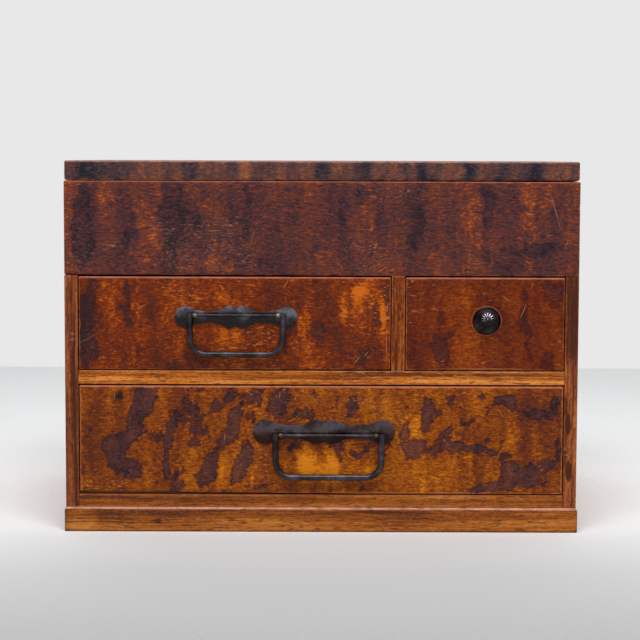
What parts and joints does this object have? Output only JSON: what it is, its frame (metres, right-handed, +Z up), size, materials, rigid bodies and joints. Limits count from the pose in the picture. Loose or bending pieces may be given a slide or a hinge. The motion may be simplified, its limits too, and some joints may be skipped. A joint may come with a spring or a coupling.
{
  "type": "small tansu chest",
  "caption": "Tabletop wooden chest on a plinth, with a hinged lid over a top compartment and drawers below it that have bail handles and a round knob.",
  "frame": {"origin": "middle of the plinth's footprint, at floor level", "axes": "+X to the chest's right as seen from the front, +Y to the back, +Z up"},
  "size_m": [0.3468, 0.249, 0.25],
  "materials": {
    "figured_wood": "mottled red-brown lacquer, worn at the edges",
    "frame_wood": "orange-brown lacquer over straight grain",
    "inner_wood": "bare softwood",
    "nail_wood": "bare wood",
    "iron": "blackened iron, satin",
    "brass": "old brass"
  },
  "bodies": {
    "carcass": {"left_side": "frame_wood", "right_side": "frame_wood", "back_board": "inner_wood", "bottom_board": "frame_wood", "middle_shelf": "frame_wood", "compartment_floor": "inner_wood", "drawer_divider": "frame_wood", "front_panel": "figured_wood", "plinth_front": "frame_wood", "plinth_back": "frame_wood", "plinth_left": "frame_wood", "plinth_right": "frame_wood", "carcass_nails": "nail_wood", "plinth_nails": "nail_wood", "left_hinge_carcass_leaf": "iron", "right_hinge_carcass_leaf": "iron", "left_hinge_pin": "iron", "right_hinge_pin": "iron", "hinge_carcass_nails": "iron"},
    "lid": {"lid": "figured_wood", "left_hinge_lid_leaf": "iron", "right_hinge_lid_leaf": "iron", "hinge_lid_nails": "iron"},
    "upper_left_drawer": {"upper_left_drawer_front": "figured_wood", "upper_left_drawer_left_side": "inner_wood", "upper_left_drawer_right_side": "inner_wood", "upper_left_drawer_back": "inner_wood", "upper_left_drawer_bottom": "inner_wood", "upper_left_drawer_nails": "nail_wood", "upper_handle_back_plate": "iron", "upper_handle_split_pins": "brass"},
    "upper_right_drawer": {"upper_right_drawer_front": "figured_wood", "upper_right_drawer_left_side": "inner_wood", "upper_right_drawer_right_side": "inner_wood", "upper_right_drawer_back": "inner_wood", "upper_right_drawer_bottom": "inner_wood", "upper_right_drawer_nails": "nail_wood", "knob": "iron", "knob_plate": "iron", "knob_washer": "iron"},
    "lower_drawer": {"lower_drawer_front": "figured_wood", "lower_drawer_left_side": "inner_wood", "lower_drawer_right_side": "inner_wood", "lower_drawer_back": "inner_wood", "lower_drawer_bottom": "inner_wood", "lower_drawer_nails": "nail_wood", "lower_handle_back_plate": "iron", "lower_handle_split_pins": "brass"},
    "upper_bail": {"upper_handle_bail": "iron"},
    "lower_bail": {"lower_handle_bail": "iron"}
  },
  "joints": [
    {"name": "lid_hinge", "type": "hinge", "parent": "carcass", "child": "lid", "pos_m": [0, 0.121, 0.23675], "axis": [-1, 0, 0], "range_deg": [0, 180]},
    {"name": "upper_left_drawer_slide", "type": "slide", "parent": "carcass", "child": "upper_left_drawer", "axis": [0, -1, 0], "range_m": [0, 0.185]},
    {"name": "upper_right_drawer_slide", "type": "slide", "parent": "carcass", "child": "upper_right_drawer", "axis": [0, -1, 0], "range_m": [0, 0.185]},
    {"name": "lower_drawer_slide", "type": "slide", "parent": "carcass", "child": "lower_drawer", "axis": [0, -1, 0], "range_m": [0, 0.185]},
    {"name": "upper_bail_swing", "type": "hinge", "parent": "upper_left_drawer", "child": "upper_bail", "pos_m": [-0.057, -0.12025, 0.147], "axis": [-1, 0, 0], "range_deg": [-3, 182]},
    {"name": "lower_bail_swing", "type": "hinge", "parent": "lower_drawer", "child": "lower_bail", "pos_m": [0.0049, -0.12045, 0.0661], "axis": [-1, 0, 0], "range_deg": [-3, 182]}
  ]
}
